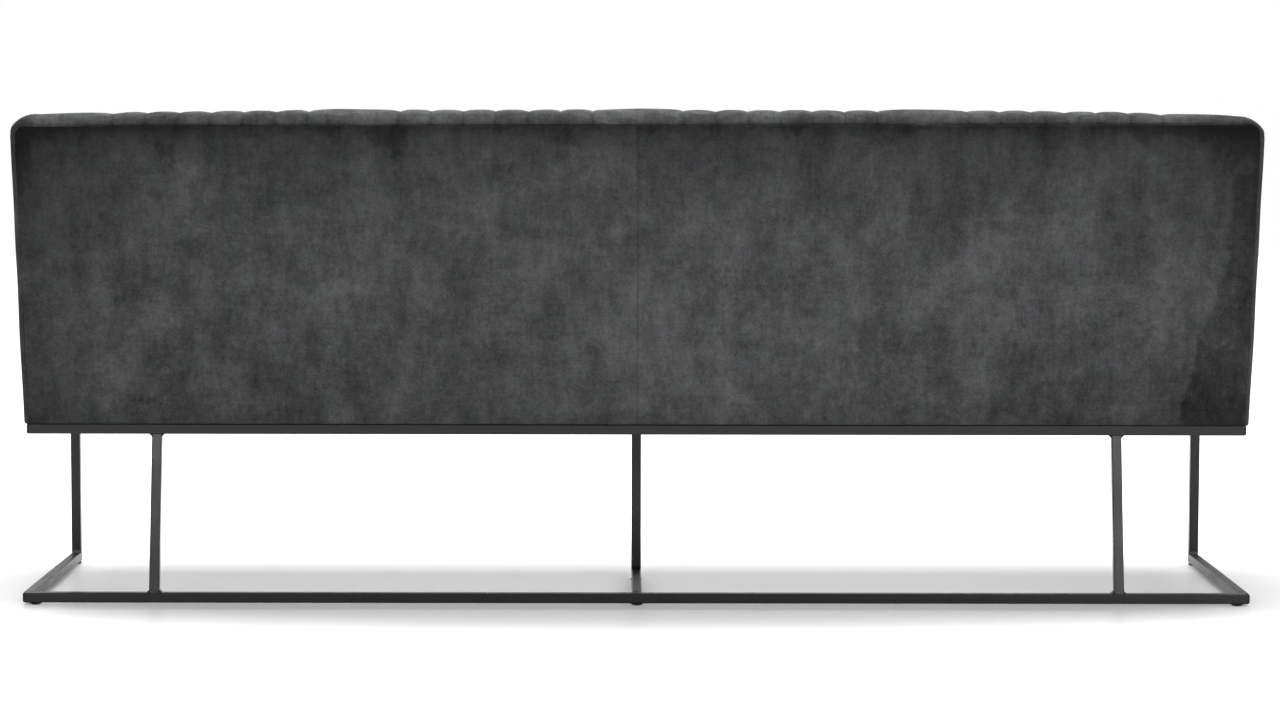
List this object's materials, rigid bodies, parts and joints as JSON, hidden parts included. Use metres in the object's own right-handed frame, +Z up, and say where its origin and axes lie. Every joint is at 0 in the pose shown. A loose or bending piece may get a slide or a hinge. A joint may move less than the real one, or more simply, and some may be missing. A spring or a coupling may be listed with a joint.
{
  "type": "upholstered dining bench",
  "caption": "Long velvet dining bench with a leaning channelled backrest, padded seat and slim black steel sled base with raked rear legs.",
  "frame": {"origin": "on the floor, under the middle of the overall box", "axes": "+X along the bench towards the right of somebody facing its front, +Y towards the back, +Z up"},
  "size_m": [2.21, 0.6292, 0.8884],
  "materials": {
    "black_plastic": "matte",
    "black_steel": "satin",
    "dust_cloth": "matte",
    "felt": "matte",
    "foam": "matte",
    "hardboard": "matte",
    "pine": "matte",
    "spring_steel": "satin",
    "velvet": "matte",
    "webbing": "matte",
    "zinc_steel": "satin"
  },
  "bodies": {
    "root": {"back_board": "hardboard", "back_foam": "foam", "back_noggings": "pine", "back_top_rail": "pine", "back_webbing": "webbing", "center_cross_board": "pine", "center_floor_rail": "black_steel", "center_glide": "black_plastic", "center_leg": "black_steel", "center_post": "pine", "center_seat_rail": "black_steel", "dust_cover": "dust_cloth", "floor_rail_end_caps": "black_plastic", "frame_screws": "zinc_steel", "front_left_glide": "black_plastic", "front_right_glide": "black_plastic", "front_seat_rail": "black_steel", "inside_back_cover": "velvet", "left_cross_board": "pine", "left_end_post": "pine", "left_floor_rail": "black_steel", "left_front_leg": "black_steel", "left_inner_post": "pine", "left_outer_post": "pine", "left_outside_back": "velvet", "left_rear_leg": "black_steel", "left_seat_rail": "black_steel", "left_side_cover": "velvet", "mounting_tabs": "black_steel", "rear_center_glide": "black_plastic", "rear_floor_rail": "black_steel", "rear_left_glide": "black_plastic", "rear_right_glide": "black_plastic", "rear_seat_rail": "black_steel", "right_cross_board": "pine", "right_end_post": "pine", "right_floor_rail": "black_steel", "right_front_leg": "black_steel", "right_inner_post": "pine", "right_outer_post": "pine", "right_outside_back": "velvet", "right_rear_leg": "black_steel", "right_seat_rail": "black_steel", "right_side_cover": "velvet", "screw_washers": "zinc_steel", "seat_cover": "velvet", "seat_foam": "foam", "seat_front_board": "pine", "seat_left_board": "pine", "seat_rail_end_caps": "black_plastic", "seat_rear_board": "pine", "seat_right_board": "pine", "seat_springs": "spring_steel", "spring_clips": "spring_steel", "spring_felt": "felt", "weld_beads": "black_steel"}
  },
  "joints": []
}
